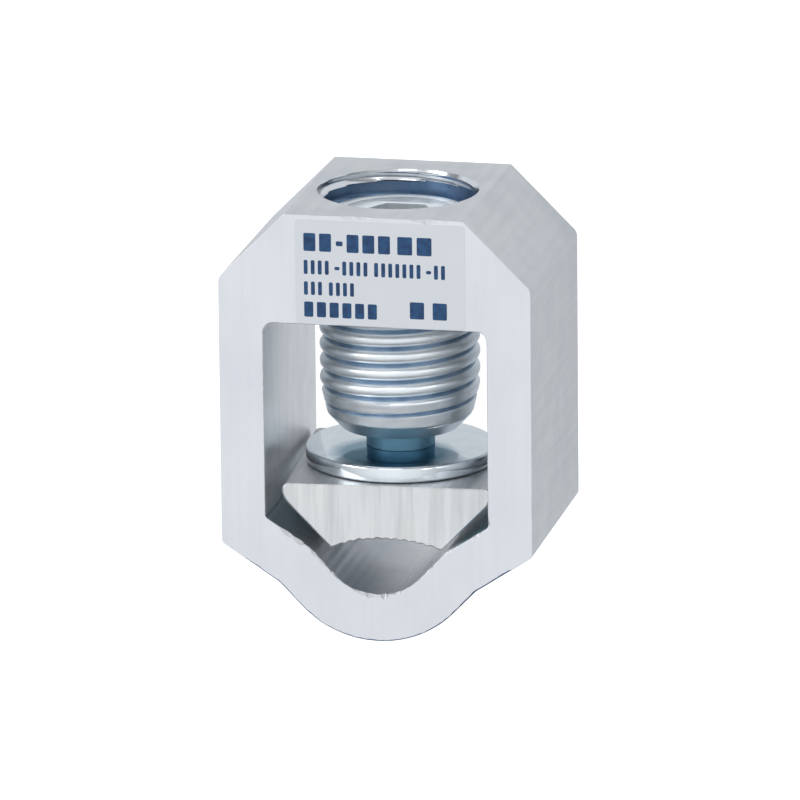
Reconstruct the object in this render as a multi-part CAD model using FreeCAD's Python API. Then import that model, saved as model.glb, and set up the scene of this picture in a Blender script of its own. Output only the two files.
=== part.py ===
import FreeCAD, Part
import math
import os

os.makedirs("parts", exist_ok=True)

# A box terminal whose conductor lies in a V. The extruded profile of the frame lies in XY and its
# length runs along Z, so the terminal lies on its sawn rear face. The screw's axis runs along Y and
# its socket faces +Y. The origin is the middle of the rear face. All sizes are in millimetres.

# Frame, an aluminium extrusion cut to length
frame_width = 27.5
frame_height = 37.9
frame_length = 20.7
shoulder_cut = 5.85        # 45 degree cut at each top corner
side_wall = 3.9
top_wall = 9.7
belly_wall = 4.2           # wall under the conductor seat, outside parallel to inside
shoulder_angle = 33.5      # slope of the floor between a side wall and the V
seat_angle = 46.0          # slope of the V's steep flanks
seat_radius = 5.1          # round bottom of the V
knee_half = 6.0            # from the middle to the knee between V and floor
window_round = 0.9         # top corners of the window
corner_round = 1.0         # outer profile corners
knee_round = 2.0           # outside of the belly, where it meets the floor
top_round = 0.3            # ends of the flat top
side_round = 0.5           # lower ends of the sides
floor_round = 0.4          # window floor against the side walls
seat_knee_round = 0.8      # window floor against the V

# Grip grooves of the V and of the shoe, which run the length of the extrusions
groove_pitch = 0.8
groove_radius = 0.5
groove_depth = 0.09

# Clamping screw, a metric set screw 14 mm across with its end turned down
thread_diameter = 14.0
thread_clearance = 0.05    # between the thread's outside and the tapped hole, on the radius
screw_length = 19.07       # from the socket face to the nose
socket_chamfer = 0.9
nose_radius = 5.2
nose_shoulder_radius = 6.4  # where the nose's steep chamfer meets its long taper
nose_shoulder = 1.3
nose_taper = 3.9
socket_width = 6.0         # across the flats of the hex key
socket_depth = 7.0
socket_tip = 1.7           # cone left by the drill under the socket
neck_diameter = 6.0
neck_length = 1.7
rivet_diameter = 4.0
rivet_head_diameter = 7.0
rivet_head_height = 1.1

# Thrust disc, hardened steel between the neck and the shoe
disc_inset = 0.8           # disc's rim inside the shoe's sides
disc_thickness = 1.4
disc_edge = 0.25

# Pressure shoe, a second extrusion that swivels on the rivet
shoe_side_play = 0.75      # between the squared shoe and each side wall
shoe_recess = 1.25         # squared shoe's ends inside the frame's sawn faces
shoe_height = 5.65
shoe_side = 1.25           # upright part of the side, above the taper
shoe_arch = 0.85           # rise of the hollow underside
shoe_corner = 0.6
shoe_tip_round = 0.25
shoe_side_round = 1.6
shoe_swivel = 3.5          # degrees that the shoe is turned at rest
shoe_lift = 1.0            # height of the squared shoe above its contact with the V
rivet_pocket_depth = 1.9
rivet_pocket_clearance = 1.0

pin_clearance = 0.08       # on the radius, rivet in disc and shoe
seat_clearance = 0.05      # between flat faces that turn on each other
overcut = 1.0              # how far a cutting tool runs past the surface that it opens

# Places that follow from the sizes. y_under is the underside of the belly.
y_under = -frame_height / 2
y_top = frame_height / 2
z_axis = frame_length / 2
belly_radius = seat_radius + belly_wall
y_seat_centre = y_under + belly_radius
seat_rad = math.radians(seat_angle)
y_seat_apex = y_seat_centre - seat_radius / math.cos(seat_rad)
y_window_top = y_top - top_wall
window_half = frame_width / 2 - side_wall
bore_radius = thread_diameter / 2 + thread_clearance
shoe_half = window_half - shoe_side_play
shoe_length = frame_length - 2 * shoe_recess
shoe_corner_half = shoe_half - (shoe_height - shoe_side) / math.tan(seat_rad)
shoe_arch_radius = (shoe_corner_half ** 2 + shoe_arch ** 2) / (2 * shoe_arch)
disc_radius = shoe_half - disc_inset

# The shoe hangs over the V, the disc and the neck follow it, and the screw reaches up from there
y_shoe_corner = y_seat_apex + shoe_corner_half * math.tan(seat_rad) + shoe_lift
y_arch = y_shoe_corner + shoe_arch
y_shoe_top = y_shoe_corner + shoe_height
y_disc_under = y_shoe_top + seat_clearance
y_disc_top = y_disc_under + disc_thickness
y_neck_end = y_disc_top + seat_clearance
y_nose = y_neck_end + neck_length
y_socket_face = y_nose + screw_length


def vec(x, y, z=0.0):
    return FreeCAD.Vector(x, y, z)


def rounded_wire(corners):
    """Closed wire through (x, y, radius) corners, each rounded by a tangent arc of its radius."""
    points = [vec(x, y) for x, y, radius in corners]
    entries, exits, middles = [], [], []
    for i, (x, y, radius) in enumerate(corners):
        before = (points[i - 1] - points[i]).normalize()
        after = (points[(i + 1) % len(points)] - points[i]).normalize()
        half_turn = before.getAngle(after) / 2
        reach = radius / math.tan(half_turn)
        bisector = (before + after).normalize()
        centre = points[i] + bisector * (radius / math.sin(half_turn))
        entries.append(points[i] + before * reach)
        exits.append(points[i] + after * reach)
        middles.append(centre - bisector * radius)
    edges = []
    for i in range(len(points)):
        if corners[i][2] > 0:
            edges.append(Part.Arc(entries[i], middles[i], exits[i]).toShape())
        start, end = exits[i], entries[(i + 1) % len(points)]
        if start.distanceToPoint(end) > 1e-6:
            edges.append(Part.LineSegment(start, end).toShape())
    return Part.Wire(edges)


def mirrored(half):
    """The right half of a symmetric profile, from top to bottom, closed by its mirror image."""
    left = [(-x, y, radius) for x, y, radius in reversed(half) if x > 0]
    return half + left


def extruded(wire, length):
    return Part.Face(wire).extrude(vec(0, 0, length))


def about_screw_axis(profile):
    """Solid turned from (radius, y) points about the screw's axis."""
    points = [vec(radius, y, z_axis) for radius, y in profile]
    face = Part.Face(Part.makePolygon(points + points[:1]))
    return face.revolve(vec(0, 0, z_axis), vec(0, 1, 0), 360)


def bore(radius, y_from, y_to):
    return Part.makeCylinder(radius, y_to - y_from, vec(0, y_from, z_axis), vec(0, 1, 0))


def seat_point(travel):
    """Point on the V and direction into the opening, at a travel along the surface from the bottom."""
    side = math.copysign(1, travel)
    arc_length = seat_radius * seat_rad
    angle = min(abs(travel), arc_length) / seat_radius
    straight = max(abs(travel) - arc_length, 0)
    x = side * (seat_radius * math.sin(angle) + straight * math.cos(seat_rad))
    y = y_seat_centre - seat_radius * math.cos(angle) + straight * math.sin(seat_rad)
    return vec(x, y), vec(-side * math.sin(angle), math.cos(angle))


def arch_point(travel):
    """Point on the shoe's hollow underside and direction out of the shoe."""
    angle = travel / shoe_arch_radius
    x = shoe_arch_radius * math.sin(angle)
    y = y_arch - shoe_arch_radius * (1 - math.cos(angle))
    return vec(x, y), vec(-math.sin(angle), -math.cos(angle))


def grooves(surface_point, half_travel, z_from, length):
    """Rods that cut scallops along a surface, on both sides of its middle."""
    count = int(half_travel / groove_pitch - 0.5)
    rods = []
    for i in range(-count, count + 1):
        point, outward = surface_point(i * groove_pitch)
        centre = point + outward * (groove_radius - groove_depth) + vec(0, 0, z_from - overcut)
        rods.append(Part.makeCylinder(groove_radius, length + 2 * overcut, centre, vec(0, 0, 1)))
    return rods


def clamp_frame():
    shoulder = math.radians(shoulder_angle)
    half = frame_width / 2
    y_knee = y_seat_apex + knee_half * math.tan(seat_rad)
    y_floor_edge = y_knee + (window_half - knee_half) * math.tan(shoulder)
    floor_wall = belly_wall / math.cos(shoulder)
    y_side_end = y_floor_edge + side_wall * math.tan(shoulder) - floor_wall
    belly_apex = y_seat_centre - belly_radius / math.cos(seat_rad)
    flank_run = y_side_end - half * math.tan(shoulder) - belly_apex
    x_outer_knee = flank_run / (math.tan(seat_rad) - math.tan(shoulder))
    y_outer_knee = belly_apex + x_outer_knee * math.tan(seat_rad)
    outside = mirrored([
        (half - shoulder_cut, y_top, top_round),
        (half, y_top - shoulder_cut, corner_round),
        (half, y_side_end, side_round),
        (x_outer_knee, y_outer_knee, knee_round),
        (0, belly_apex, belly_radius),
    ])
    window = mirrored([
        (window_half, y_window_top, window_round),
        (window_half, y_floor_edge, floor_round),
        (knee_half, y_knee, seat_knee_round),
        (0, y_seat_apex, seat_radius),
    ])
    solid = extruded(rounded_wire(outside), frame_length)
    solid = solid.cut(extruded(rounded_wire(window), frame_length))
    solid = solid.cut(bore(bore_radius, y_window_top - overcut, y_top + overcut))
    seat_travel = seat_radius * seat_rad + (knee_half - seat_radius * math.sin(seat_rad)) / math.cos(seat_rad)
    return solid.cut(grooves(seat_point, seat_travel, 0, frame_length))


def clamp_screw():
    y_head_top = y_arch + rivet_pocket_depth - seat_clearance
    y_head_end = y_head_top - rivet_head_height
    major = thread_diameter / 2
    body = about_screw_axis([
        (0, y_socket_face),
        (major - socket_chamfer, y_socket_face),
        (major, y_socket_face - socket_chamfer),
        (major, y_nose + nose_taper),
        (nose_shoulder_radius, y_nose + nose_shoulder),
        (nose_radius, y_nose),
        (neck_diameter / 2, y_nose),
        (neck_diameter / 2, y_neck_end),
        (rivet_diameter / 2, y_neck_end),
        (rivet_diameter / 2, y_head_top),
        (rivet_head_diameter / 2, y_head_top),
        (rivet_head_diameter / 2, y_head_top - rivet_head_height / 2),
        (rivet_head_diameter / 2 - rivet_head_height / 2, y_head_end),
        (0, y_head_end),
    ])
    corner = socket_width / 2 / math.cos(math.radians(30))
    turns = [math.radians(60 * i) for i in range(6)]
    hexagon = [vec(corner * math.cos(a), y_socket_face, z_axis + corner * math.sin(a)) for a in turns]
    socket = Part.Face(Part.makePolygon(hexagon + hexagon[:1])).extrude(vec(0, -socket_depth, 0))
    socket_floor = vec(0, y_socket_face - socket_depth, z_axis)
    drill = Part.makeCone(socket_width / 2, 0, socket_tip, socket_floor, vec(0, -1, 0))
    return body.cut([socket, drill])


def thrust_disc():
    inner = rivet_diameter / 2 + pin_clearance
    return about_screw_axis([
        (inner, y_disc_under),
        (disc_radius - disc_edge, y_disc_under),
        (disc_radius, y_disc_under + disc_edge),
        (disc_radius, y_disc_top - disc_edge),
        (disc_radius - disc_edge, y_disc_top),
        (inner, y_disc_top),
    ])


def pressure_shoe():
    z_start = z_axis - shoe_length / 2
    solid = extruded(rounded_wire(mirrored([
        (shoe_half, y_shoe_top, shoe_corner),
        (shoe_half, y_shoe_top - shoe_side, shoe_side_round),
        (shoe_corner_half, y_shoe_corner, shoe_tip_round),
    ])), shoe_length)
    solid.translate(vec(0, 0, z_start))
    arch_centre = vec(0, y_arch - shoe_arch_radius, z_start - overcut)
    hollow = Part.makeCylinder(shoe_arch_radius, shoe_length + 2 * overcut, arch_centre, vec(0, 0, 1))
    pocket_radius = rivet_head_diameter / 2 + rivet_pocket_clearance
    solid = solid.cut([
        hollow,
        bore(rivet_diameter / 2 + pin_clearance, y_shoe_corner, y_shoe_top + overcut),
        bore(pocket_radius, y_shoe_corner, y_arch + rivet_pocket_depth),
    ])
    solid = solid.cut(grooves(arch_point, shoe_corner_half, z_start, shoe_length))
    solid.rotate(vec(0, 0, z_axis), vec(0, 1, 0), shoe_swivel)
    return solid


pieces = {
    "clamp_frame": clamp_frame(),
    "clamp_screw": clamp_screw(),
    "thrust_disc": thrust_disc(),
    "pressure_shoe": pressure_shoe(),
}
for name, shape in pieces.items():
    solid = shape.Solids[0]
    solid.exportStep("parts/" + name + ".step")
    box = solid.BoundBox
    print(name, len(shape.Solids), "solid,", round(solid.Volume, 1), "mm3, Y from",
          round(box.YMin, 3), "to", round(box.YMax, 3))
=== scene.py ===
import bpy, bmesh, math
from mathutils import Matrix, Vector, noise
from mathutils.geometry import tessellate_polygon


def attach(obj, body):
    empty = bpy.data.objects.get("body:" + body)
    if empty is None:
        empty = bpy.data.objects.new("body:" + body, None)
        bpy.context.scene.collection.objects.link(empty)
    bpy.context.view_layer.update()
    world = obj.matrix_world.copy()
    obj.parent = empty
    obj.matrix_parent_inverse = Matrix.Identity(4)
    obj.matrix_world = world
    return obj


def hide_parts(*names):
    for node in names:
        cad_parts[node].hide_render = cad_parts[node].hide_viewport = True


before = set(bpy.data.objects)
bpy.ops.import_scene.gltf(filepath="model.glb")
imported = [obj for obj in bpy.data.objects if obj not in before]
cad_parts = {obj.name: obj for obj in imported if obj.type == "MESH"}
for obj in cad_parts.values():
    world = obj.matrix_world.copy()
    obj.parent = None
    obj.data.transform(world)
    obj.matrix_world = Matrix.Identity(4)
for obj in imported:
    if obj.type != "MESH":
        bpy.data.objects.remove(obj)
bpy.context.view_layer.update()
mm = 0.001
axisZ = 10.35          # the screw's axis runs along Y at x = 0 and this height
print("frame loaded:", ", ".join(sorted(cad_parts)))


# Small helpers for meshes, all worked in millimetres

def finishMesh(name, bm, materials, body, replaced=None, sharp=32):
    bmesh.ops.remove_doubles(bm, verts=bm.verts[:], dist=1e-5)
    bmesh.ops.recalc_face_normals(bm, faces=bm.faces[:])
    bmesh.ops.scale(bm, vec=(mm, mm, mm), verts=bm.verts[:])
    mesh = bpy.data.meshes.new(name)
    bm.to_mesh(mesh)
    bm.free()
    for material in materials:
        mesh.materials.append(material)
    piece = bpy.data.objects.new(name, mesh)
    bpy.context.scene.collection.objects.link(piece)
    shadeByAngle(piece, sharp)
    if body:
        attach(piece, body)
    if replaced:
        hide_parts(replaced)
    return piece


def shadeByAngle(piece, degrees):
    piece.data.polygons.foreach_set("use_smooth", [True] * len(piece.data.polygons))
    piece.data.set_sharp_from_angle(angle=math.radians(degrees))


def applyCut(piece, cutter):
    # cuts the piece and keeps the result as its mesh
    cut = piece.modifiers.new("cut", "BOOLEAN")
    cut.operation, cut.solver, cut.object = "DIFFERENCE", "EXACT", cutter
    cut.material_mode = "TRANSFER"
    solid = bpy.data.meshes.new_from_object(piece.evaluated_get(bpy.context.evaluated_depsgraph_get()))
    piece.modifiers.clear()
    piece.data = solid
    bpy.data.objects.remove(cutter)


def roundedProfile(corners, step=0.12):
    # points round a closed profile whose (x, y, radius) corners become arcs
    points = []
    count = len(corners)
    for i, (x, y, radius) in enumerate(corners):
        corner = Vector((x, y))
        before = (Vector(corners[i - 1][:2]) - corner).normalized()
        after = (Vector(corners[(i + 1) % count][:2]) - corner).normalized()
        half = before.angle(after) / 2
        bisector = (before + after).normalized()
        centre = corner + bisector * (radius / math.sin(half))
        sweep = math.pi - 2 * half
        pieces = max(3, math.ceil(sweep * radius / step))
        turn = 1 if before.x * after.y - before.y * after.x < 0 else -1
        start = corner + before * (radius / math.tan(half)) - centre
        for k in range(pieces + 1):
            angle = turn * sweep * k / pieces
            points.append(Vector((centre.x + start.x * math.cos(angle) - start.y * math.sin(angle),
                                  centre.y + start.x * math.sin(angle) + start.y * math.cos(angle))))
    return points


def evenSteps(loop, step):
    # adds points along the straight runs of a closed loop
    points = []
    for p, q in zip(loop, loop[1:] + loop[:1]):
        count = max(1, math.ceil((q - p).length / step))
        points += [p.lerp(q, k / count) for k in range(count)]
    return points


def mirroredCorners(half):
    return half + [(-x, y, radius) for x, y, radius in reversed(half) if x > 0]


def outwardNormals(loop):
    # unit normals of a closed 2D loop, pointing to the side that is on its left
    normals = []
    for i in range(len(loop)):
        along = loop[(i + 1) % len(loop)] - loop[i - 1]
        normals.append(Vector((-along.y, along.x)).normalized())
    return normals


def addRing(bm, points, z):
    return [bm.verts.new((p.x, p.y, z)) for p in points]


def bridge(bm, ringA, ringB, slot):
    count = len(ringA)
    for i in range(count):
        k = (i + 1) % count
        quad = [ringA[i], ringA[k], ringB[k], ringB[i]]
        bm.faces.new(quad).material_index = slot


def capLoops(bm, loops, slot):
    flat = [v for loop in loops for v in loop]
    for triangle in tessellate_polygon([[v.co for v in loop] for loop in loops]):
        if len(set(triangle)) == 3:
            bm.faces.new([flat[i] for i in triangle]).material_index = slot


def sawnLength(bm, loops, zFrom, zTo, edgeWear, edgeSlot, underShadeSlot=0):
    # extrudes closed loops between two sawn faces. Each loop is (points, side, slot, wear), where side turns
    # its normals into the metal. Its sawn edges are broken by a width that edgeWear gives for that wear
    zSteps = [zFrom, zTo]
    ends = {zFrom: [], zTo: []}
    for points, side, slot, wear in loops:
        normals = outwardNormals(points)
        rings = []
        for z in zSteps:
            inward = 1 if z == zFrom else -1
            widths = [edgeWear(p, z, wear) for p in points]
            face = [p + n * side * w for p, n, w in zip(points, normals, widths)]
            onFace = addRing(bm, face, z)
            onWall = [bm.verts.new((p.x, p.y, z + inward * w)) for p, w in zip(points, widths)]
            ends[z].append(onFace)
            rings.append((onFace, onWall))
        bridge(bm, rings[0][1], rings[1][1], slot)
        for (onFace, onWall), z in zip(rings, zSteps):
            for i, point in enumerate(points):
                k = (i + 1) % len(points)
                broken = bm.faces.new((onFace[i], onFace[k], onWall[k], onWall[i]))
                # outside edges low on the belly take the painted shade line
                if wear == "outside" and point.y < sawnEdges["underBelow"]:
                    broken.material_index = underShadeSlot
                elif edgeWear(point, z, wear) > sawnEdges["shines"] and point.y > sawnEdges["burrsAbove"]:
                    broken.material_index = edgeSlot
                else:
                    broken.material_index = 0 if point.y > sawnEdges["underBelow"] else slot
    for z in zSteps:
        capLoops(bm, ends[z], 0)


sawnEdges = {
    "plain": 0.05, "under": 0.13, "burr": 0.2, "shines": 0.12, "least": 0.03,
    "underBelow": -12, "seatBelow": -7, "burrsAbove": -16,      # heights on the frame, along Y
    # burrs left by the saw round the V and along the top: x, y, spread, width
    "window": [(-7.9, -9.8, 0.55, 0.30), (-7.0, -10.4, 0.5, 0.34), (-5.7, -11.5, 0.4, 0.24),
               (-4.8, -12.1, 0.3, 0.14), (-3.9, -13.1, 0.3, 0.12), (-1.0, -14.85, 0.75, 0.30),
               (0.6, -14.9, 0.5, 0.36), (1.8, -14.55, 0.35, 0.22), (4.5, -11.95, 0.3, 0.2),
               (8.6, -8.5, 0.6, 0.26), (9.5, -7.8, 0.4, 0.22)],
    "outside": [(-2.2, 18.95, 0.75, 0.26), (-0.9, 18.95, 0.4, 0.16), (4.6, 18.95, 0.8, 0.3),
                (6.6, 18.95, 0.4, 0.14)],
}


def cylinderCutter(radius, yFrom, yTo, segments, material):
    bm = bmesh.new()
    rings = []
    for y in (yFrom, yTo):
        ring = []
        for j in range(segments):
            angle = 2 * math.pi * j / segments
            ring.append(bm.verts.new((radius * math.sin(angle), y, axisZ + radius * math.cos(angle))))
        rings.append(ring)
    bridge(bm, rings[0], rings[1], 0)
    bm.faces.new(rings[0])
    bm.faces.new(rings[1])
    return finishMesh("cutter", bm, [material], None)


def turnedRings(bm, profile, segments, slot):
    # rings about the screw's axis through (radius, y) points; returns the first and last ring
    rings = []
    for radius, y in profile:
        if radius < 1e-6:
            rings.append([bm.verts.new((0, y, axisZ))] * segments)
            continue
        ring = []
        for j in range(segments):
            angle = 2 * math.pi * j / segments
            ring.append(bm.verts.new((radius * math.sin(angle), y, axisZ + radius * math.cos(angle))))
        rings.append(ring)
    for a, b in zip(rings, rings[1:]):
        for j in range(segments):
            k = (j + 1) % segments
            corners = []
            for v in (a[j], a[k], b[k], b[j]):
                if v not in corners:
                    corners.append(v)
            if len(corners) > 2:
                bm.faces.new(corners).material_index = slot
    return rings[0], rings[-1]


# Materials. Each one starts from a metal shader, and its tone, gloss and relief come from noise; some are painted
# light or painted shade, and some carry patches of painted shade

def newFinish(name, color, metallic, roughness):
    material = bpy.data.materials.new(name)
    material.use_nodes = True
    shader = material.node_tree.nodes["Principled BSDF"]
    shader.inputs["Base Color"].default_value = (*color, 1)
    shader.inputs["Metallic"].default_value = metallic
    shader.inputs["Roughness"].default_value = roughness
    material.diffuse_color = (*color, 1)
    return material, material.node_tree.nodes, material.node_tree.links, shader


def stretchedNoise(nodes, links, scale, detail=4, roughness=0.55):
    # noise in object space, with its own scale along each axis, in waves per metre
    place = nodes.new("ShaderNodeTexCoord")
    stretch = nodes.new("ShaderNodeMapping")
    stretch.inputs["Scale"].default_value = scale
    grain = nodes.new("ShaderNodeTexNoise")
    grain.inputs["Scale"].default_value = 1.0
    grain.inputs["Detail"].default_value = detail
    grain.inputs["Roughness"].default_value = roughness
    links.new(place.outputs["Object"], stretch.inputs["Vector"])
    links.new(stretch.outputs["Vector"], grain.inputs["Vector"])
    return grain.outputs["Fac"]


def tonesFrom(nodes, links, fac, low, high, start=0.35, end=0.65):
    ramp = nodes.new("ShaderNodeValToRGB")
    ramp.color_ramp.elements[0].position = start
    ramp.color_ramp.elements[0].color = (*low, 1)
    ramp.color_ramp.elements[1].position = end
    ramp.color_ramp.elements[1].color = (*high, 1)
    links.new(fac, ramp.inputs["Fac"])
    return ramp.outputs["Color"]


def rangeFrom(nodes, links, fac, low, high, start=0.3, end=0.7):
    limits = nodes.new("ShaderNodeMapRange")
    limits.inputs["From Min"].default_value = start
    limits.inputs["From Max"].default_value = end
    limits.inputs["To Min"].default_value = low
    limits.inputs["To Max"].default_value = high
    links.new(fac, limits.inputs["Value"])
    return limits.outputs["Result"]


def multiplied(nodes, links, colorA, colorB):
    mix = nodes.new("ShaderNodeMix")
    mix.data_type = "RGBA"
    mix.blend_type = "MULTIPLY"
    mix.inputs["Factor"].default_value = 1.0
    links.new(colorA, mix.inputs["A"])
    links.new(colorB, mix.inputs["B"])
    return mix.outputs["Result"]


def reliefFrom(nodes, links, shader, heights, distance):
    # stacks bumps, finest last, each (height, strength)
    normal = None
    for height, strength in heights:
        bump = nodes.new("ShaderNodeBump")
        bump.inputs["Distance"].default_value = distance
        bump.inputs["Strength"].default_value = strength
        links.new(height, bump.inputs["Height"])
        if normal:
            links.new(normal, bump.inputs["Normal"])
        normal = bump.outputs["Normal"]
    links.new(normal, shader.inputs["Normal"])


sawnAluminium = {
    "light": (0.885, 0.90, 0.94),
    "dark": (0.855, 0.87, 0.91),
    "roughness": (0.44, 0.54),
    "sawLines": (1900, 60, 900),
    "relief": 0.00002,
}


def sawnFinish(name, look):
    material, nodes, links, shader = newFinish(name, look["light"], 0.92, 0.5)
    lines = stretchedNoise(nodes, links, look["sawLines"], 3)
    clouds = stretchedNoise(nodes, links, (170, 120, 150), 5, 0.6)
    fine = stretchedNoise(nodes, links, (5200, 5200, 5200), 2)
    lineTone = tonesFrom(nodes, links, lines, look["dark"], look["light"], 0.3, 0.6)
    cloudTone = tonesFrom(nodes, links, clouds, (0.95, 0.955, 0.965), (1, 1, 1), 0.35, 0.6)
    links.new(multiplied(nodes, links, lineTone, cloudTone), shader.inputs["Base Color"])
    links.new(rangeFrom(nodes, links, lines, *look["roughness"]), shader.inputs["Roughness"])
    reliefFrom(nodes, links, shader, [(lines, 0.5), (fine, 0.25)], look["relief"])
    return material


extrudedAluminium = {
    "light": (0.62, 0.632, 0.65),
    "dark": (0.58, 0.592, 0.61),
    "roughness": (0.38, 0.5),
    "drawLines": (1500, 1500, 60),
    "relief": 0.00002,
}


def paintedShadeOver(nodes, links, color, shadePatch):
    # mixes a patch of painted shade over a colour round a point, with a ragged edge
    place = nodes.new("ShaderNodeTexCoord")
    away = nodes.new("ShaderNodeVectorMath")
    away.operation = "SUBTRACT"
    away.inputs[1].default_value = [c * mm for c in shadePatch["centre"]]
    links.new(place.outputs["Object"], away.inputs[0])
    squash = nodes.new("ShaderNodeVectorMath")
    squash.operation = "MULTIPLY"
    squash.inputs[1].default_value = [1 / (r * mm) if r else 0 for r in shadePatch["reach"]]
    links.new(away.outputs[0], squash.inputs[0])
    size = nodes.new("ShaderNodeVectorMath")
    size.operation = "LENGTH"
    links.new(squash.outputs[0], size.inputs[0])
    ragged = nodes.new("ShaderNodeMath")
    ragged.operation = "MULTIPLY_ADD"
    ragged.inputs[1].default_value = shadePatch["ragged"]
    links.new(stretchedNoise(nodes, links, (900, 900, 900), 3), ragged.inputs[0])
    links.new(size.outputs["Value"], ragged.inputs[2])
    amount = rangeFrom(nodes, links, ragged.outputs[0], shadePatch["strength"], 0, *shadePatch["fades"])
    mix = nodes.new("ShaderNodeMix")
    mix.data_type = "RGBA"
    links.new(amount, mix.inputs["Factor"])
    links.new(color, mix.inputs["A"])
    mix.inputs["B"].default_value = (*shadePatch["color"], 1)
    return mix.outputs["Result"]


def extrudedFinish(name, look):
    material, nodes, links, shader = newFinish(name, look["light"], 0.95, 0.45)
    lines = stretchedNoise(nodes, links, look["drawLines"], 3)
    clouds = stretchedNoise(nodes, links, (210, 150, 230), 6, 0.62)
    specks = stretchedNoise(nodes, links, (1500, 1500, 1500), 3)
    lineTone = tonesFrom(nodes, links, lines, look["dark"], look["light"], 0.3, 0.62)
    cloudTone = tonesFrom(nodes, links, clouds, (0.86, 0.87, 0.885), (1, 1, 1), 0.35, 0.62)
    tone = multiplied(nodes, links, lineTone, cloudTone)
    for shadePatch in look.get("paintedShadePatches", []):
        tone = paintedShadeOver(nodes, links, tone, shadePatch)
    links.new(tone, shader.inputs["Base Color"])
    links.new(rangeFrom(nodes, links, clouds, *look["roughness"]), shader.inputs["Roughness"])
    reliefFrom(nodes, links, shader, [(lines, 0.35), (specks, 0.2)], look["relief"])
    return material


frameSawn = sawnFinish("frame_sawn_aluminium", sawnAluminium)
frameSkin = extrudedFinish("frame_extruded_aluminium", extrudedAluminium)
# painted light: the window's inner walls use the extruded aluminium painted much lighter than the outer skin, and
# carry patches of painted shade
frameWindowPaintedLightShade = extrudedFinish("frame_window_painted_light_and_shade", {
    **extrudedAluminium,
    "light": (0.94, 0.945, 0.955),
    "dark": (0.86, 0.875, 0.90),
    "roughness": (0.3, 0.42),
    "drawLines": (900, 90, 900),
    # painted shade: bluish dark patches in the gaps between the shoe and both walls, and a grey patch on the V's left
    # flank
    "paintedShadePatches": [
        {"centre": (9.2, -9.3, 0), "reach": (3.4, 2.2, 0), "ragged": 0.4, "fades": (0.7, 1.35), "strength": 0.8,
         "color": (0.20, 0.42, 0.52)},
        {"centre": (-9.4, -9.6, 0), "reach": (3.2, 2.6, 0), "ragged": 0.4, "fades": (0.7, 1.5), "strength": 0.4,
         "color": (0.35, 0.62, 0.74)},
        {"centre": (-3.2, -13.6, 0), "reach": (3.6, 2.6, 0), "ragged": 0.3, "fades": (0.5, 1.5), "strength": 0.75,
         "color": (0.52, 0.54, 0.60)},
    ],
})

sawnShoe = sawnFinish("shoe_sawn_aluminium", {
    **sawnAluminium,
    "light": (0.88, 0.89, 0.89),
    "dark": (0.72, 0.73, 0.73),
    "sawLines": (1500, 90, 900),
    "relief": 0.00004,
})
shoeSkin = extrudedFinish("shoe_extruded_aluminium", {**extrudedAluminium, "light": (0.74, 0.75, 0.76)})

zincScrew = {
    "light": (0.93, 0.965, 0.99),
    "dark": (0.80, 0.865, 0.92),
    "roughness": (0.32, 0.44),
    "turningLines": (120, 7000, 120),
    "relief": 0.000012,
}


def zincFinish(name, look):
    material, nodes, links, shader = newFinish(name, look["light"], 1.0, 0.22)
    lines = stretchedNoise(nodes, links, look["turningLines"], 2)
    clouds = stretchedNoise(nodes, links, (420, 300, 420), 5, 0.6)
    lineTone = tonesFrom(nodes, links, clouds, look["dark"], look["light"], 0.32, 0.62)
    for shadePatch in look.get("paintedShadePatches", []):
        lineTone = paintedShadeOver(nodes, links, lineTone, shadePatch)
    links.new(lineTone, shader.inputs["Base Color"])
    links.new(rangeFrom(nodes, links, clouds, *look["roughness"]), shader.inputs["Roughness"])
    reliefFrom(nodes, links, shader, [(lines, 0.5), (clouds, 0.2)], look["relief"])
    return material


screwZinc = zincFinish("screw_zinc", zincScrew)
# painted shade: the thread roots coloured darker and bluer than the crests
screwRootShaded = zincFinish("screw_thread_root_painted_shade", {
    **zincScrew, "light": (0.66, 0.76, 0.86), "dark": (0.50, 0.61, 0.72), "roughness": (0.4, 0.55),
})
screwFace = zincFinish("screw_socket_face", {
    **zincScrew, "light": (0.84, 0.875, 0.895), "dark": (0.76, 0.80, 0.83), "roughness": (0.4, 0.55),
})
# painted shade: the neck, stem and head under the nose coloured dark blue for the shade there and its dark reflection
# in the disc
neckShaded = zincFinish("screw_neck_painted_shade", {
    **zincScrew, "light": (0.25, 0.46, 0.59), "dark": (0.20, 0.40, 0.53), "roughness": (0.5, 0.6),
})
discZinc = zincFinish("disc_zinc", {
    **zincScrew, "light": (0.82, 0.87, 0.91), "dark": (0.74, 0.80, 0.85), "roughness": (0.06, 0.14),
    "relief": 0.000004,
    # painted shadow and dark reflection of the screw's nose: a teal patch on the disc top reaching towards its front
    # edge
    "paintedShadePatches": [{"centre": (0, -3.868, 13.6), "reach": (5.5, 0.08, 4.9), "ragged": 0.12, "fades": (0.85, 1.15),
                "strength": 0.92, "color": (0.08, 0.23, 0.33)}],
})
boreMetal = zincFinish("bore_thread_aluminium", {
    **zincScrew, "light": (0.66, 0.68, 0.71), "dark": (0.58, 0.60, 0.63), "roughness": (0.14, 0.24),
})
# painted shade: dark blue for the relief under the countersink and for the belly's lower sawn edge
boreShade = zincFinish("bore_relief_painted_shade", {
    **zincScrew, "light": (0.14, 0.21, 0.31), "dark": (0.08, 0.14, 0.24), "roughness": (0.25, 0.4),
})
sawBurr = sawnFinish("saw_burr_aluminium", {
    **sawnAluminium, "light": (0.93, 0.935, 0.95), "dark": (0.86, 0.87, 0.89), "roughness": (0.34, 0.46),
})
print("finishes made")


# The frame, an extrusion sawn to length, with the tapped hole through its top

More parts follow.
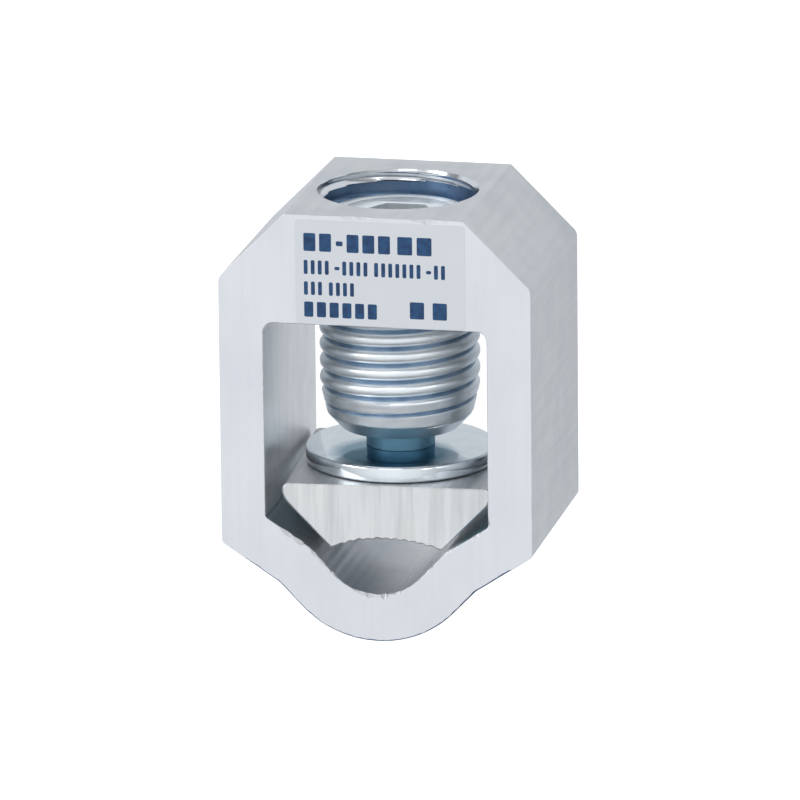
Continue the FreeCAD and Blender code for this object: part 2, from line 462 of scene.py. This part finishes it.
clampFrame = {
    "width": 27.5, "height": 37.9, "length": 20.7, "shoulderCut": 5.85, "sideWall": 3.9, "topWall": 9.7,
    "bellyWall": 4.2, "shoulderAngle": 33.5, "seatAngle": 46, "seatRadius": 5.1, "kneeHalf": 6.0,
    "windowRound": 0.9, "cornerRound": 1.0, "kneeRound": 2.0, "topRound": 0.3, "sideRound": 0.5,
    "floorRound": 0.4, "seatKneeRound": 0.8, "boreRadius": 7.05,
}
gripGrooves = {"pitch": 0.8, "radius": 0.5, "depth": 0.09, "seatWear": 0.15}


def grooveDepth(travel, halfCount):
    nearest = round(travel / gripGrooves["pitch"])
    if abs(nearest) > halfCount:
        return 0
    off = travel - nearest * gripGrooves["pitch"]
    reach = gripGrooves["radius"] ** 2 - off * off
    lift = gripGrooves["radius"] - gripGrooves["depth"]
    return max(0, math.sqrt(reach) - lift) if reach > 0 else 0


grooveStations = (-0.4, -0.286, -0.2, -0.1, 0, 0.1, 0.2, 0.286)


def framePlaces(size):
    places = {}
    seat = math.radians(size["seatAngle"])
    shoulder = math.radians(size["shoulderAngle"])
    half = size["width"] / 2
    places["top"] = size["height"] / 2
    places["bellyRadius"] = size["seatRadius"] + size["bellyWall"]
    places["seatCentre"] = places["bellyRadius"] - size["height"] / 2
    places["seatApex"] = places["seatCentre"] - size["seatRadius"] / math.cos(seat)
    places["windowTop"] = places["top"] - size["topWall"]
    places["windowHalf"] = half - size["sideWall"]
    places["knee"] = places["seatApex"] + size["kneeHalf"] * math.tan(seat)
    places["floorEdge"] = places["knee"] + (places["windowHalf"] - size["kneeHalf"]) * math.tan(shoulder)
    sideDrop = size["bellyWall"] / math.cos(shoulder) - size["sideWall"] * math.tan(shoulder)
    places["sideEnd"] = places["floorEdge"] - sideDrop
    places["bellyApex"] = places["seatCentre"] - places["bellyRadius"] / math.cos(seat)
    run = places["sideEnd"] - half * math.tan(shoulder) - places["bellyApex"]
    places["outerKneeX"] = run / (math.tan(seat) - math.tan(shoulder))
    places["outerKneeY"] = places["bellyApex"] + places["outerKneeX"] * math.tan(seat)
    return places


places = framePlaces(clampFrame)


def windowLoop(size):
    # the window with the V at its foot: a smooth upper part and the grooved seat
    loop = roundedProfile(mirroredCorners([
        (places["windowHalf"], places["windowTop"], size["windowRound"]),
        (places["windowHalf"], places["floorEdge"], size["floorRound"]),
        (size["kneeHalf"], places["knee"], size["seatKneeRound"]),
        (0, places["seatApex"], size["seatRadius"]),
    ]), 0.06)
    seat = math.radians(size["seatAngle"])
    arc = size["seatRadius"] * seat
    reach = arc + (size["kneeHalf"] - size["seatRadius"] * math.sin(seat)) / math.cos(seat)
    halfCount = int(reach / gripGrooves["pitch"] - 0.5)
    limit = halfCount * gripGrooves["pitch"] + 0.4
    seatPoints = []
    for i in range(-halfCount, halfCount + 1):
        for station in grooveStations:
            travel = i * gripGrooves["pitch"] + station
            side = math.copysign(1, travel)
            angle = min(abs(travel), arc) / size["seatRadius"]
            straight = max(abs(travel) - arc, 0)
            x = side * (size["seatRadius"] * math.sin(angle) + straight * math.cos(seat))
            y = places["seatCentre"] - size["seatRadius"] * math.cos(angle) + straight * math.sin(seat)
            inward = Vector((side * math.sin(angle), -math.cos(angle)))
            depth = grooveDepth(travel, halfCount) * gripGrooves["seatWear"]
            seatPoints.append(Vector((x, y)) + inward * depth)
    edge = size["seatRadius"] * math.sin(seat) + (limit - arc) * math.cos(seat)
    rest = [p for p in loop if not (abs(p.x) < edge + 0.02 and p.y < places["knee"])]
    # the loop runs clockwise from the right, so the kept part is turned to start at the V's left end
    start = min(range(len(rest)), key=lambda i: (rest[i] - seatPoints[0]).length)
    rest = rest[start:] + rest[:start]
    if (rest[1] - seatPoints[0]).length < (rest[-1] - seatPoints[0]).length:
        rest = rest[::-1]
    if (rest[0] - seatPoints[0]).length < (rest[-1] - seatPoints[0]).length:
        rest = rest[::-1]
    return rest + seatPoints


def loopTurn(loop):
    return sum(a.x * b.y - a.y * b.x for a, b in zip(loop, loop[1:] + loop[:1]))


def counterclockwise(loop):
    return loop if loopTurn(loop) > 0 else loop[::-1]


def frameEdgeWear(p, z, wear):
    # how wide the sawn edge is broken at a point, in millimetres
    soft = noise.noise(Vector((p.x * 0.55, p.y * 0.55, z * 0.2 + 3.1)))
    sharp = noise.noise(Vector((p.x * 2.3, p.y * 2.3, z * 0.4 + 9.7)))
    under = wear == "outside" and p.y < sawnEdges["underBelow"]
    plain = sawnEdges["under" if under else "plain"]
    width = plain * (1 + 0.5 * soft + 0.4 * sharp)
    if wear == "window" and p.y < sawnEdges["seatBelow"]:
        width += sawnEdges["burr"] * max(0, soft + 0.45 * sharp - 0.35)
    if z > 1:
        for x, y, spread, height in sawnEdges[wear]:
            near = ((p.x - x) ** 2 + (p.y - y) ** 2) / spread ** 2
            width += height * math.exp(-near) * (1 + 0.9 * sharp)
    return max(sawnEdges["least"], width)


def dressFrame(size):
    half = size["width"] / 2
    outside = counterclockwise(evenSteps(roundedProfile(mirroredCorners([
        (half - size["shoulderCut"], places["top"], size["topRound"]),
        (half, places["top"] - size["shoulderCut"], size["cornerRound"]),
        (half, places["sideEnd"], size["sideRound"]),
        (places["outerKneeX"], places["outerKneeY"], size["kneeRound"]),
        (0, places["bellyApex"], places["bellyRadius"]),
    ])), 0.25))
    window = counterclockwise(evenSteps(windowLoop(size), 0.15))
    bm = bmesh.new()
    sawnLength(bm, [(outside, 1, 1, "outside"), (window, -1, 2, "window")], 0, size["length"], frameEdgeWear,
               4, 5)
    piece = finishMesh("frame_extrusion", bm, [frameSawn, frameSkin, frameWindowPaintedLightShade, boreMetal, sawBurr, boreShade],
                       "frame", "clamp_frame")
    cutter = cylinderCutter(size["boreRadius"], places["windowTop"] - 1, places["top"] + 1, 192, boreMetal)
    applyCut(piece, cutter)
    shadeByAngle(piece, 32)
    return piece


frameExtrusion = dressFrame(clampFrame)
print("frame extrusion:", len(frameExtrusion.data.polygons), "faces")


# The thread, one helical skin for the screw and its negative for the tapped hole

thread = {
    "pitch": 1.5, "crestAt": -0.45, "columns": 192,
    "screw": [(0, 7.0), (0.08, 6.99), (0.16, 6.955), (0.24, 6.88), (0.32, 6.76), (0.38, 6.62), (0.43, 6.44),
              (0.47, 6.24), (0.5, 6.15)],
    "hole": [(0, 7.05), (0.08, 7.04), (0.16, 7.005), (0.24, 6.935), (0.32, 6.82), (0.38, 6.69), (0.43, 6.52),
             (0.47, 6.34), (0.5, 6.28)],
    "rootBelow": 6.6,
}


def threadSkin(bm, profile, envelope, yFrom, yTo, outer, nick=0.0):
    # rows follow the helix; a row past an end lies on that end, and the envelope trims the radius
    pitch, columns = thread["pitch"], thread["columns"]
    samples = [(-u, r) for u, r in reversed(profile[1:-1])] + profile
    first = math.floor((yFrom - thread["crestAt"]) / pitch) - 2
    last = math.ceil((yTo - thread["crestAt"]) / pitch) + 2
    rows = [(n + u, r) for n in range(first, last) for u, r in samples]
    perTurn = len(samples)
    grid = []
    for j in range(columns):
        angle = 2 * math.pi * j / columns
        column = []
        for turn, radius in rows:
            y = thread["crestAt"] + pitch * (turn + angle / (2 * math.pi))
            y = min(max(y, yFrom), yTo)
            limit = envelope(y)
            r = min(radius, limit) if outer else max(radius, limit)
            if nick:
                rough = noise.noise(Vector((math.sin(angle) * 5, y * 1.6, math.cos(angle) * 5)))
                r -= nick * max(0, rough) * (1 if r > 6.3 and yFrom < y < yTo else 0)
            column.append(bm.verts.new((r * math.sin(angle), y, axisZ + r * math.cos(angle))))
        grid.append(column)
    for j in range(columns):
        shift = perTurn if j == columns - 1 else 0
        nextColumn = grid[(j + 1) % columns]
        for m in range(len(rows) - 1):
            if m + 1 + shift >= len(rows):
                continue
            a, b = grid[j][m], grid[j][m + 1]
            c, d = nextColumn[m + 1 + shift], nextColumn[m + shift]
            if len({a.co.y, b.co.y, c.co.y, d.co.y}) > 1:
                bm.faces.new((a, d, c, b))
    bmesh.ops.remove_doubles(bm, verts=bm.verts[:], dist=1e-5)
    loose = [v for v in bm.verts if not v.link_faces]
    bmesh.ops.delete(bm, geom=loose, context="VERTS")


def endRing(bm, y):
    ring = [v for v in bm.verts if abs(v.co.y - y) < 1e-6 and any(e.is_boundary for e in v.link_edges)]
    return sorted(ring, key=lambda v: math.atan2(v.co.x, v.co.z - axisZ) % (2 * math.pi))


clampScrew = {
    "socketFace": 16.952, "nose": -2.118, "neckEnd": -3.855, "headTop": -8.268, "headEnd": -9.368,
    "faceRadius": 6.01, "noseRadius": 5.2, "noseShoulder": 1.3, "shoulderRadius": 6.4, "noseTaper": 3.9,
    "faceRing": 5.2, "nick": 0.03,
    "neckRadius": 3.0, "stemRadius": 2.0, "headRadius": 3.5,
    "socketWidth": 6.0, "socketDepth": 7.0, "socketTip": 1.7, "mouth": 0.15,
}


def screwEnvelope(y):
    size = clampScrew
    above = y - size["nose"]
    steep = size["noseRadius"] + above * (size["shoulderRadius"] - size["noseRadius"]) / size["noseShoulder"]
    rise = (7.0 - size["shoulderRadius"]) / (size["noseTaper"] - size["noseShoulder"])
    taper = size["shoulderRadius"] + (above - size["noseShoulder"]) * rise
    face = size["faceRadius"] + (size["socketFace"] - y)
    return min(7.0, steep, taper, face)


def dressScrew(size):
    bm = bmesh.new()
    threadSkin(bm, thread["screw"], screwEnvelope, size["nose"], size["socketFace"], True, size["nick"])
    # faces deep in the thread roots take the painted shade finish
    for face in bm.faces:
        middle = face.calc_center_median()
        radius = math.hypot(middle.x, middle.z - axisZ)
        if radius < min(thread["rootBelow"], screwEnvelope(middle.y) - 0.12):
            face.material_index = 3
    faceRing = endRing(bm, size["socketFace"])
    noseRing = endRing(bm, size["nose"])
    # the hexagon socket, with a small chamfer at its mouth
    sides, perSide = 6, 6
    rings = []
    for inset, y in ((size["mouth"], size["socketFace"]), (0, size["socketFace"] - size["mouth"] * 0.6),
                     (0, size["socketFace"] - size["socketDepth"])):
        flat = size["socketWidth"] / 2 + inset
        corner = flat / math.cos(math.pi / sides)
        ring = []
        for side in range(sides):
            a, b = math.pi / 3 * side, math.pi / 3 * (side + 1)
            for k in range(perSide):
                t = k / perSide
                x = corner * (math.cos(a) * (1 - t) + math.cos(b) * t)
                z = corner * (math.sin(a) * (1 - t) + math.sin(b) * t)
                ring.append(bm.verts.new((x, y, axisZ + z)))
        rings.append(ring)
    bridge(bm, rings[0], rings[1], 1)
    bridge(bm, rings[1], rings[2], 1)
    turned = [faceRing]
    for radius, drop in ((size["faceRing"] + 0.1, 0), (size["faceRing"], 0.07), (size["faceRing"] - 0.1, 0)):
        ring = []
        for v in faceRing:
            angle = math.atan2(v.co.x, v.co.z - axisZ)
            ring.append(bm.verts.new((radius * math.sin(angle), size["socketFace"] - drop,
                                      axisZ + radius * math.cos(angle))))
        bridge(bm, turned[-1], ring, 1)
        turned.append(ring)
    capLoops(bm, [turned[-1], rings[0]], 1)
    tip = bm.verts.new((0, size["socketFace"] - size["socketDepth"] - size["socketTip"], axisZ))
    for i in range(len(rings[2])):
        bm.faces.new((rings[2][i], rings[2][(i + 1) % len(rings[2])], tip)).material_index = 1
    # nose face, neck, stem and the riveted head
    segments = thread["columns"]
    profile = [
        (size["noseRadius"] - 0.35, size["nose"]), (size["neckRadius"] + 0.15, size["nose"]),
        (size["neckRadius"], size["nose"] - 0.15), (size["neckRadius"], size["neckEnd"] + 0.02),
        (size["neckRadius"] - 0.02, size["neckEnd"]), (size["stemRadius"], size["neckEnd"]),
        (size["stemRadius"], size["headTop"]), (size["headRadius"] - 0.1, size["headTop"]),
        (size["headRadius"], size["headTop"] - 0.1), (size["headRadius"], size["headTop"] - 0.55),
        (size["headRadius"] - 0.2, size["headEnd"] + 0.2), (size["headRadius"] - 0.75, size["headEnd"]),
        (0, size["headEnd"]),
    ]
    # the neck, stem and head take the dark painted shade finish
    firstRing, lastRing = turnedRings(bm, profile, segments, 2)
    bridge(bm, noseRing, firstRing, 2)
    for face in bm.faces:
        if abs(face.calc_center_median().y - size["nose"]) < 0.02:
            face.material_index = 1
    return finishMesh("clamping_screw", bm, [screwZinc, screwFace, neckShaded, screwRootShaded], "screw",
                      "clamp_screw", 38)


clampingScrew = dressScrew(clampScrew)
print("clamping screw:", len(clampingScrew.data.polygons), "faces")


tappedBore = {
    "radius": 7.05, "reliefRadius": 7.04, "least": 6.28, "mouth": 0.05,
    "sinkDepth": 0.95, "sinkSlope": 0.54, "sinkRadius": 6.5365, "reliefSlope": 6, "reliefEnd": 2.1, "startSlope": 2,
    "shadeFrom": 0.98, "shadeTo": 2.6,
}


def holeEnvelope(y):
    # countersunk at both ends, with a relief under the upper one where the thread starts
    size = tappedBore
    down = places["top"] - y
    if down < size["sinkDepth"]:
        upper = size["radius"] - down * size["sinkSlope"]
    elif down <= size["reliefEnd"]:
        upper = size["sinkRadius"] + (down - size["sinkDepth"]) * size["reliefSlope"]
    else:
        upper = size["reliefRadius"] - (down - size["reliefEnd"]) * size["startSlope"]
    widest = size["radius"] if down < size["mouth"] else size["reliefRadius"]
    return max(size["least"], min(upper, widest), size["radius"] - (y - places["windowTop"]))


def dressTappedHole():
    bm = bmesh.new()
    threadSkin(bm, thread["hole"], holeEnvelope, places["windowTop"], places["top"], False)
    upper = endRing(bm, places["top"])
    lower = endRing(bm, places["windowTop"])
    bridge(bm, upper, lower, 0)
    # faces in the relief under the countersink take the painted shade
    for face in bm.faces:
        down = places["top"] - face.calc_center_median().y
        if tappedBore["shadeFrom"] < down < tappedBore["shadeTo"]:
            face.material_index = 1
    return finishMesh("tapped_hole_thread", bm, [boreMetal, boreShade], "frame", None, 38)


tappedHole = dressTappedHole()
print("tapped hole:", len(tappedHole.data.polygons), "faces")


# The thrust disc, turned, with broken edges

thrustDisc = {"radius": 8.3, "hole": 2.08, "under": -5.268, "top": -3.868, "edge": 0.25}


def dressDisc(size):
    bm = bmesh.new()
    edge = size["edge"]
    rim = [(size["hole"], size["top"] - 0.1), (size["hole"] + 0.1, size["top"])]
    for k in range(5):
        angle = math.pi / 2 * k / 4
        rim.append((size["radius"] - edge + edge * math.sin(angle), size["top"] - edge + edge * math.cos(angle)))
    for k in range(5):
        angle = math.pi / 2 * k / 4
        rim.append((size["radius"] - edge + edge * math.cos(angle), size["under"] + edge - edge * math.sin(angle)))
    rim += [(size["hole"] + 0.1, size["under"]), (size["hole"], size["under"] + 0.1)]
    firstRing, lastRing = turnedRings(bm, rim, 192, 0)
    bridge(bm, lastRing, firstRing, 0)
    return finishMesh("thrust_disc_dressed", bm, [discZinc], "thrust", "thrust_disc", 30)


discDressed = dressDisc(thrustDisc)
print("thrust disc:", len(discDressed.data.polygons), "faces")


# The pressure shoe, a short sawn extrusion with a hollow grooved underside

pressureShoe = {
    "half": 9.1, "length": 18.2, "corner": -10.968, "height": 5.65, "side": 1.25, "arch": 0.85,
    "cornerRound": 0.6, "sideRound": 1.6, "tipRound": 0.25, "taperAngle": 46, "swivel": 3.5,
    "holeRadius": 2.08, "pocketRadius": 4.5, "pocketDepth": 1.9,
}


def shoeLoop(size):
    top = size["corner"] + size["height"]
    cornerHalf = size["half"] - (size["height"] - size["side"]) / math.tan(math.radians(size["taperAngle"]))
    archRadius = (cornerHalf ** 2 + size["arch"] ** 2) / (2 * size["arch"])
    archTop = size["corner"] + size["arch"]
    loop = roundedProfile(mirroredCorners([
        (size["half"], top, size["cornerRound"]),
        (size["half"], top - size["side"], size["sideRound"]),
        (cornerHalf, size["corner"], size["tipRound"]),
    ]), 0.08)
    halfCount = int(cornerHalf / gripGrooves["pitch"] - 0.5)
    under = []
    for i in range(-halfCount, halfCount + 1):
        for station in grooveStations:
            travel = i * gripGrooves["pitch"] + station
            angle = travel / archRadius
            out = Vector((-math.sin(angle), -math.cos(angle)))
            p = Vector((archRadius * math.sin(angle), archTop - archRadius * (1 - math.cos(angle))))
            under.append(p - out * grooveDepth(travel, halfCount))
    edge = abs(under[0].x) + 0.05

    def archAt(x):
        return archTop - archRadius + math.sqrt(max(archRadius ** 2 - x * x, 0))

    rest = []
    for p in loop:
        if p.y < top - size["side"] - 1 and abs(p.x) < edge:
            continue
        y = max(p.y, archAt(p.x)) if abs(p.x) < cornerHalf + 0.3 and p.y < size["corner"] + 0.5 else p.y
        rest.append(Vector((p.x, y)))
    lowLeft = min(range(len(rest)), key=lambda i: (rest[i] - under[0]).length)
    rest = rest[lowLeft:] + rest[:lowLeft]
    if (rest[0] - under[0]).length < (rest[-1] - under[0]).length:
        rest = rest[::-1]
    return counterclockwise(rest + under)


def shoeEdgeWear(p, z, wear):
    sharp = noise.noise(Vector((p.x * 1.9, p.y * 1.9, z * 0.3 + 5.3)))
    soft = noise.noise(Vector((p.x * 0.7, p.y * 0.7, z * 0.3 + 1.7)))
    width = 0.1 + 0.1 * max(0, sharp) + 0.1 * max(0, soft)
    return max(0.04, width)


def dressShoe(size):
    bm = bmesh.new()
    zFrom = axisZ - size["length"] / 2
    sawnLength(bm, [(shoeLoop(size), 1, 1, "outside")], zFrom, zFrom + size["length"], shoeEdgeWear, 2)
    piece = finishMesh("pressure_shoe_dressed", bm, [sawnShoe, shoeSkin, sawBurr], None)
    top = size["corner"] + size["height"]
    applyCut(piece, cylinderCutter(size["holeRadius"], size["corner"], top + 1, 64, shoeSkin))
    pocketTop = size["corner"] + size["arch"] + size["pocketDepth"]
    applyCut(piece, cylinderCutter(size["pocketRadius"], size["corner"] - 1, pocketTop, 96, shoeSkin))
    shadeByAngle(piece, 32)
    centre = Matrix.Translation((0, 0, axisZ * mm))
    piece.data.transform(centre @ Matrix.Rotation(math.radians(size["swivel"]), 4, "Y") @ centre.inverted())
    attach(piece, "shoe")
    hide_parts("pressure_shoe")
    return piece


shoeDressed = dressShoe(pressureShoe)
print("pressure shoe:", len(shoeDressed.data.polygons), "faces")


# A clear film on the front face with plain printed fields

labelFilm = {"left": -6.9, "right": 8.0, "bottom": 9.32, "top": 18.6, "thickness": 0.025}
printFields = {
    "thickness": 0.012, "round": 0.12,
    # rows of plain blocks: left end, bottom, block width, height, step, count
    "rows": [(-6.15, 15.8, 1.05, 1.6, 1.38, 2), (-3.3, 16.35, 0.6, 0.42, 1, 1), (-2.35, 15.8, 1.05, 1.6, 1.38, 3),
             (2.1, 15.8, 1.3, 1.6, 1.7, 2),
             (-6.15, 13.75, 0.34, 1.25, 0.62, 4), (-3.45, 14.2, 0.45, 0.3, 1, 1), (-2.75, 13.75, 0.34, 1.25, 0.62, 4),
             (0.05, 13.75, 0.34, 1.25, 0.62, 7), (4.6, 14.2, 0.45, 0.3, 1, 1), (5.3, 13.75, 0.34, 1.25, 0.62, 2),
             (-6.15, 11.9, 0.34, 1.2, 0.62, 3), (-3.95, 11.9, 0.34, 1.2, 0.62, 4),
             (-6.15, 9.95, 0.8, 1.35, 1.12, 6),
             (3.15, 10.15, 1.25, 1.5, 2.0, 2)],
}


def plate(bm, x, y, width, height, zLow, zHigh, radius):
    loop = roundedProfile([(x, y, radius), (x + width, y, radius), (x + width, y + height, radius),
                           (x, y + height, radius)], 0.08)
    low, high = addRing(bm, loop, zLow), addRing(bm, loop, zHigh)
    bridge(bm, low, high, 0)
    capLoops(bm, [low], 0)
    capLoops(bm, [high], 0)


def filmFinish():
    material, nodes, links, shader = newFinish("label_film", (0.73, 0.75, 0.79), 0.5, 0.34)
    wave = stretchedNoise(nodes, links, (260, 260, 260), 3)
    links.new(tonesFrom(nodes, links, wave, (0.72, 0.745, 0.785), (0.745, 0.765, 0.805)), shader.inputs["Base Color"])
    links.new(rangeFrom(nodes, links, wave, 0.3, 0.42), shader.inputs["Roughness"])
    reliefFrom(nodes, links, shader, [(wave, 0.1)], 0.00002)
    return material


def inkFinish():
    material, nodes, links, shader = newFinish("print_ink", (0.004, 0.05, 0.16), 0.0, 0.45)
    spread = stretchedNoise(nodes, links, (1800, 1800, 1800), 3)
    links.new(tonesFrom(nodes, links, spread, (0.003, 0.035, 0.12), (0.01, 0.075, 0.20)),
              shader.inputs["Base Color"])
    reliefFrom(nodes, links, shader, [(spread, 0.15)], 0.00001)
    return material


def dressLabel():
    face = clampFrame["length"]
    bm = bmesh.new()
    film = labelFilm
    plate(bm, film["left"], film["bottom"], film["right"] - film["left"], film["top"] - film["bottom"],
          face - 0.02, face + film["thickness"], 0.3)
    finishMesh("label_film", bm, [filmFinish()], "frame", None, 30)
    bm = bmesh.new()
    low = face + film["thickness"] - 0.004
    high = face + film["thickness"] + printFields["thickness"]
    for left, bottom, width, height, stepAlong, count in printFields["rows"]:
        for k in range(count):
            plate(bm, left + k * stepAlong, bottom, width, height, low, high, printFields["round"])
    finishMesh("label_print", bm, [inkFinish()], "frame", None, 30)


dressLabel()
print("label laid on")


# Floor, light and camera

studio = {
    "floorHalf": 0.6, "floorTone": (0.38, 0.385, 0.39), "seenGlow": 0.94,
    "mirroredGlow": 0.60, "mirroredTint": (0.93, 0.97, 1.0),
    "front": 1.01, "side": 0.17, "overhead": 0.16, "under": 0.45, "tint": (0.96, 0.98, 1.0),
    "lamps": [
        {"name": "key_softbox", "azimuth": -4, "elevation": 46, "distance": 0.7, "size": 0.26, "power": 0.36},
        {"name": "right_softbox", "azimuth": 44, "elevation": 20, "distance": 0.8, "size": 0.16, "power": 0.26},
        {"name": "left_softbox", "azimuth": -52, "elevation": 28, "distance": 0.8, "size": 0.34, "power": 1.7},
    ],
}


def layFloor():
    bm = bmesh.new()
    reach = studio["floorHalf"]
    corners = [bm.verts.new((x * reach, y * reach, 0)) for x, y in ((-1, -1), (1, -1), (1, 1), (-1, 1))]
    bm.faces.new(corners)
    mesh = bpy.data.meshes.new("studio_floor")
    bm.to_mesh(mesh)
    bm.free()
    material, nodes, links, shader = newFinish("studio_floor", studio["floorTone"], 0.0, 0.9)
    grain = stretchedNoise(nodes, links, (90, 90, 90), 3)
    links.new(tonesFrom(nodes, links, grain, studio["floorTone"], (0.40, 0.405, 0.41)), shader.inputs["Base Color"])
    seen = nodes.new("ShaderNodeLightPath")
    mirrored = nodes.new("ShaderNodeMath")
    mirrored.operation = "MAXIMUM"
    links.new(seen.outputs["Is Glossy Ray"], mirrored.inputs[0])
    links.new(seen.outputs["Is Transmission Ray"], mirrored.inputs[1])
    glows = []
    for ray, color, strength in ((seen.outputs["Is Camera Ray"], (1, 1, 1), studio["seenGlow"]),
                                 (mirrored.outputs[0], studio["mirroredTint"], studio["mirroredGlow"])):
        amount = nodes.new("ShaderNodeMath")
        amount.operation = "MULTIPLY"
        amount.inputs[1].default_value = strength
        links.new(ray, amount.inputs[0])
        glow = nodes.new("ShaderNodeEmission")
        glow.inputs["Color"].default_value = (*color, 1)
        links.new(amount.outputs[0], glow.inputs["Strength"])
        glows.append(glow)
    glow = nodes.new("ShaderNodeAddShader")
    links.new(glows[0].outputs[0], glow.inputs[0])
    links.new(glows[1].outputs[0], glow.inputs[1])
    both = nodes.new("ShaderNodeAddShader")
    links.new(shader.outputs[0], both.inputs[0])
    links.new(glow.outputs[0], both.inputs[1])
    links.new(both.outputs[0], nodes["Material Output"].inputs["Surface"])
    mesh.materials.append(material)
    floor = bpy.data.objects.new("studio_floor", mesh)
    bpy.context.scene.collection.objects.link(floor)


def lightWorld():
    world = bpy.data.worlds.new("studio_world")
    bpy.context.scene.world = world
    world.use_nodes = True
    nodes, links = world.node_tree.nodes, world.node_tree.links
    background = nodes["Background"]
    place = nodes.new("ShaderNodeTexCoord")
    split = nodes.new("ShaderNodeSeparateXYZ")
    links.new(place.outputs["Generated"], split.inputs[0])

    def spread(value, start, end, low, high):
        limits = nodes.new("ShaderNodeMapRange")
        for socket, number in (("From Min", start), ("From Max", end), ("To Min", low), ("To Max", high)):
            limits.inputs[socket].default_value = number
        links.new(value, limits.inputs["Value"])
        return limits.outputs["Result"]

    def joined(operation, a, b):
        both = nodes.new("ShaderNodeMath")
        both.operation = operation
        links.new(a, both.inputs[0])
        links.new(b, both.inputs[1])
        return both.outputs[0]

    # bright in front of the object and over it, dimmer at its sides and below
    front = spread(split.outputs["Z"], 0, 1, studio["side"], studio["front"])
    overhead = spread(split.outputs["Y"], 0, 1, 0, studio["overhead"])
    under = spread(split.outputs["Y"], -0.85, -0.3, studio["under"], 1)
    soft = joined("MULTIPLY", joined("ADD", front, overhead), under)
    seen = nodes.new("ShaderNodeLightPath")
    white = nodes.new("ShaderNodeMath")
    white.operation = "MAXIMUM"
    links.new(seen.outputs["Is Camera Ray"], white.inputs[0])
    links.new(soft, white.inputs[1])
    links.new(white.outputs[0], background.inputs["Strength"])
    background.inputs["Color"].default_value = (*studio["tint"], 1)


def hangLamps():
    target = Vector((0, 0, axisZ * mm))
    for lamp in studio["lamps"]:
        azimuth, elevation = math.radians(lamp["azimuth"]), math.radians(lamp["elevation"])
        way = Vector((math.sin(azimuth) * math.cos(elevation), math.sin(elevation),
                      math.cos(azimuth) * math.cos(elevation)))
        data = bpy.data.lights.new(lamp["name"], "AREA")
        data.shape, data.size, data.energy = "SQUARE", lamp["size"], lamp["power"]
        light = bpy.data.objects.new(lamp["name"], data)
        light.location = target + way * lamp["distance"]
        light.rotation_euler = (-way).to_track_quat("-Z", "Y").to_euler()
        bpy.context.scene.collection.objects.link(light)


def setCamera():
    data = bpy.data.cameras.new("photo_camera")
    data.sensor_width, data.lens = 36, 472.08
    data.clip_start, data.clip_end = 0.05, 10
    camera = bpy.data.objects.new("photo_camera", data)
    camera.matrix_world = Matrix([
        (0.977937, -0.046384, 0.203683, 0.186242),      # right, up and back of the camera, and its place
        (-0.009796, 0.963782, 0.266511, 0.243696),
        (-0.208668, -0.262626, 0.942064, 0.871930),
        (0, 0, 0, 1),
    ])
    bpy.context.scene.collection.objects.link(camera)
    bpy.context.scene.camera = camera


layFloor()
lightWorld()
hangLamps()
setCamera()
bpy.context.scene.view_settings.view_transform = "Standard"
print("studio ready")
